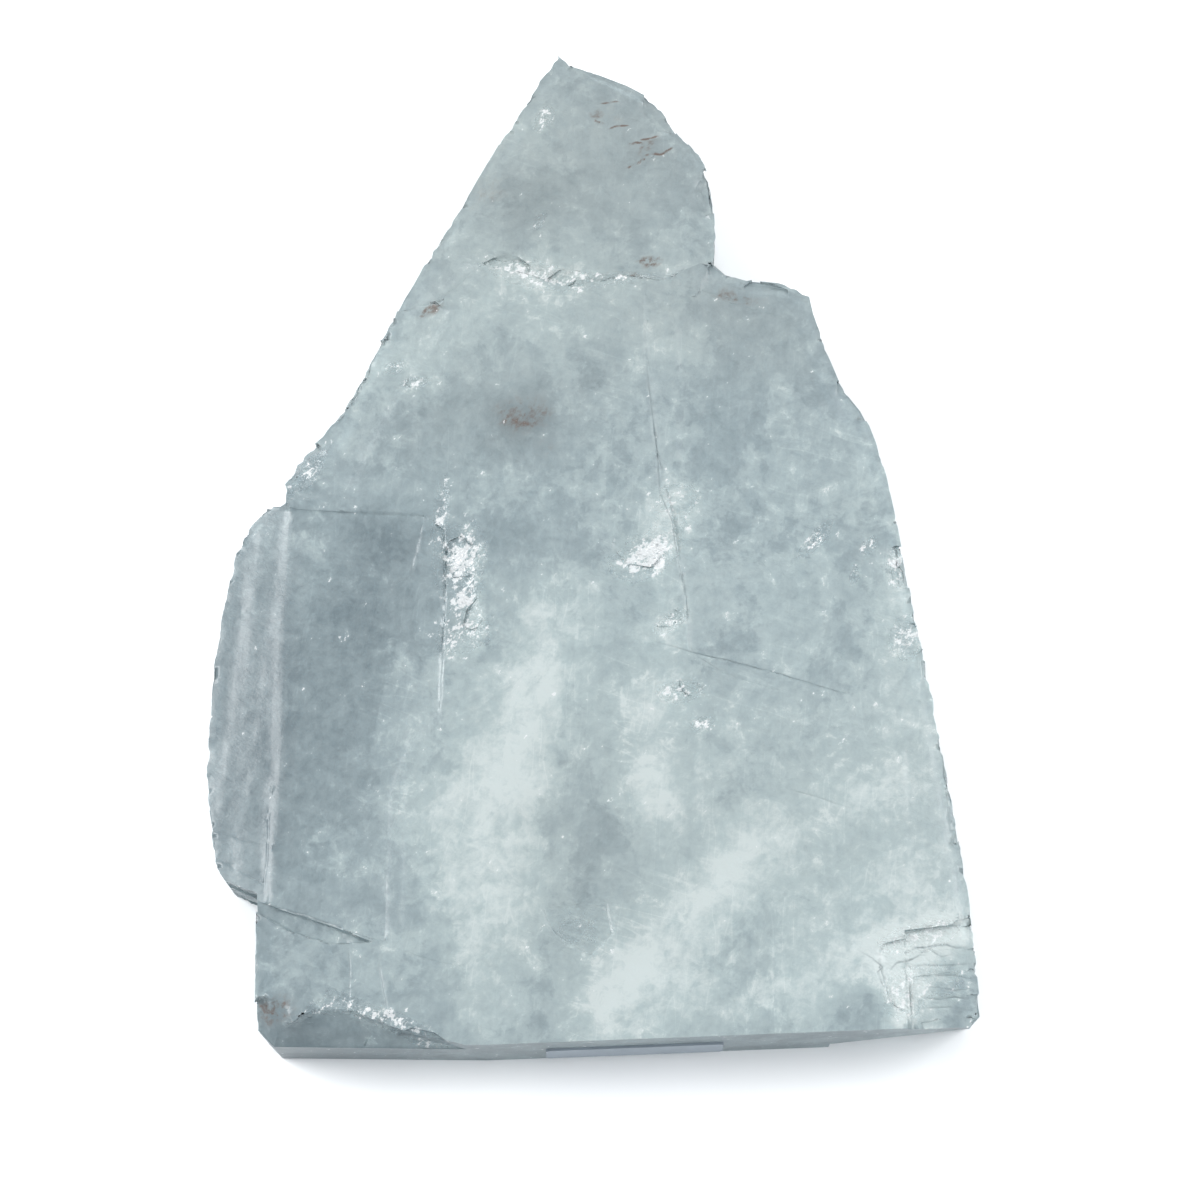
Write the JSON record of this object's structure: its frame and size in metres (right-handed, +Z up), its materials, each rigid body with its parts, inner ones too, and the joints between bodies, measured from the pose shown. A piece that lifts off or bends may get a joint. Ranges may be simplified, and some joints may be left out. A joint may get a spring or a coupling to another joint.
{
  "type": "selenite slab",
  "caption": "Thick flat slab of clouded clear selenite with a pointed head, a rounded side lobe, stepped broken edges and a straight cut edge.",
  "frame": {"origin": "under the middle of the slab's bounding box, at the height of its underside", "axes": "+Z up out of the broad top face, +Y from the straight cut edge towards the pointed head, +X to the right"},
  "size_m": [0.166, 0.236, 0.024],
  "materials": {
    "crystal": "cleaved and pearly, clouded inside",
    "label_paper": "matt"
  },
  "bodies": {
    "root": {"selenite_slab": "crystal", "edge_label": "label_paper"}
  },
  "joints": []
}
